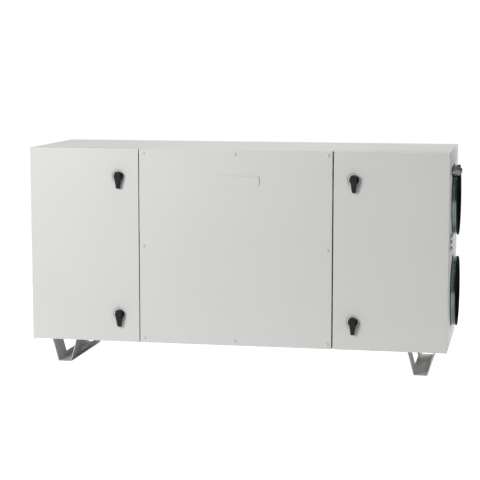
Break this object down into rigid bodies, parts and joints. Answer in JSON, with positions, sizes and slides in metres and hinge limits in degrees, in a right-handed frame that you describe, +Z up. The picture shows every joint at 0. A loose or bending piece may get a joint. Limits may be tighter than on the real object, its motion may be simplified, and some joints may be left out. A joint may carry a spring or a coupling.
{
  "type": "heat recovery unit",
  "caption": "Horizontal insulated air-handling case with end duct spigots, hinged service doors with quarter-turn levers, rotary heat exchanger, fans, filters and folded feet.",
  "frame": {"origin": "centre of the bounding box on the floor plane, under the feet", "axes": "+X along the length towards the supply outlet and pipe end, +Y from the service side to the back, +Z up"},
  "size_m": [1.971, 0.657, 1],
  "materials": {
    "coated_steel": "satin",
    "frame_steel": "satin",
    "foot_steel": "satin",
    "galvanised": "satin",
    "black_plastic": "satin",
    "rubber": "matte",
    "aluminium": "satin",
    "filter_media": "matte",
    "plated_brass": "satin",
    "impeller_plastic": "satin",
    "motor_paint": "satin"
  },
  "bodies": {
    "casing": {"bottom_panel": "coated_steel", "top_panel": "coated_steel", "back_panel": "coated_steel", "left_end_panel": "coated_steel", "right_end_panel": "coated_steel", "front_centre_panel": "coated_steel", "blank_name_plate": "coated_steel", "left_mullion": "frame_steel", "left_shelf": "frame_steel", "left_foot": "foot_steel", "left_upper_spigot": "galvanised", "left_upper_lip_seal": "rubber", "left_upper_hinge_casing_half": "frame_steel", "left_lower_spigot": "galvanised", "left_lower_lip_seal": "rubber", "left_lower_hinge_casing_half": "frame_steel", "right_mullion": "frame_steel", "right_shelf": "frame_steel", "right_foot": "foot_steel", "right_upper_spigot": "galvanised", "right_upper_lip_seal": "rubber", "right_upper_hinge_casing_half": "frame_steel", "right_lower_spigot": "galvanised", "right_lower_lip_seal": "rubber", "right_lower_hinge_casing_half": "frame_steel", "rotor_cassette": "frame_steel", "rotor_axle": "frame_steel", "drive_belt": "rubber", "rotor_motor": "motor_paint", "supply_fan_wall": "frame_steel", "exhaust_fan_wall": "frame_steel", "supply_fan_motor": "motor_paint", "exhaust_fan_motor": "motor_paint", "supply_filter": "filter_media", "extract_filter": "filter_media", "heater_coil": "aluminium", "heater_flow_pipe": "plated_brass", "heater_return_pipe": "plated_brass", "cable_gland_strip": "black_plastic", "control_box": "frame_steel"},
    "left_door_leaf": {"left_door": "coated_steel", "left_door_seal": "rubber", "left_upper_hinge_door_half": "frame_steel", "left_lower_hinge_door_half": "frame_steel"},
    "left_upper_latch": {"left_upper_lever": "black_plastic", "left_upper_cam": "frame_steel"},
    "left_lower_latch": {"left_lower_lever": "black_plastic", "left_lower_cam": "frame_steel"},
    "right_door_leaf": {"right_door": "coated_steel", "right_door_seal": "rubber", "right_upper_hinge_door_half": "frame_steel", "right_lower_hinge_door_half": "frame_steel"},
    "right_upper_latch": {"right_upper_lever": "black_plastic", "right_upper_cam": "frame_steel"},
    "right_lower_latch": {"right_lower_lever": "black_plastic", "right_lower_cam": "frame_steel"},
    "heat_wheel": {"rotor_wheel": "aluminium"},
    "drive_pulley": {"motor_pulley": "black_plastic"},
    "supply_fan": {"supply_impeller": "impeller_plastic"},
    "exhaust_fan": {"exhaust_impeller": "impeller_plastic"}
  },
  "joints": [
    {"name": "left_door_swing", "type": "hinge", "parent": "casing", "child": "left_door_leaf", "pos_m": [-0.952, -0.2465, 0.559], "axis": [0, 0, -1], "range_deg": [0, 110]},
    {"name": "left_upper_latch_turn", "type": "hinge", "parent": "left_door_leaf", "child": "left_upper_latch", "pos_m": [-0.5405, -0.2985, 0.8745], "axis": [0, -1, 0], "range_deg": [0, 90]},
    {"name": "left_lower_latch_turn", "type": "hinge", "parent": "left_door_leaf", "child": "left_lower_latch", "pos_m": [-0.5405, -0.2985, 0.2435], "axis": [0, -1, 0], "range_deg": [0, 90]},
    {"name": "right_door_swing", "type": "hinge", "parent": "casing", "child": "right_door_leaf", "pos_m": [0.939, -0.2465, 0.559], "axis": [0, 0, 1], "range_deg": [0, 110]},
    {"name": "right_upper_latch_turn", "type": "hinge", "parent": "right_door_leaf", "child": "right_upper_latch", "pos_m": [0.5275, -0.2985, 0.8745], "axis": [0, 1, 0], "range_deg": [0, 90]},
    {"name": "right_lower_latch_turn", "type": "hinge", "parent": "right_door_leaf", "child": "right_lower_latch", "pos_m": [0.5275, -0.2985, 0.2435], "axis": [0, 1, 0], "range_deg": [0, 90]},
    {"name": "heat_wheel_spin", "type": "hinge", "parent": "casing", "child": "heat_wheel", "pos_m": [-0.0065, 0.017, 0.559], "axis": [1, 0, 0], "continuous": true},
    {"name": "drive_pulley_spin", "type": "hinge", "parent": "casing", "child": "drive_pulley", "pos_m": [0.0395, 0.2015, 0.235], "axis": [1, 0, 0], "continuous": true},
    {"name": "supply_fan_spin", "type": "hinge", "parent": "casing", "child": "supply_fan", "pos_m": [0.5875, 0.017, 0.7595], "axis": [1, 0, 0], "continuous": true},
    {"name": "exhaust_fan_spin", "type": "hinge", "parent": "casing", "child": "exhaust_fan", "pos_m": [-0.6005, 0.017, 0.3585], "axis": [-1, 0, 0], "continuous": true}
  ],
  "couplings": [
    {"joint": "drive_pulley_spin", "follows": "heat_wheel_spin", "ratio": 8.0607}
  ]
}
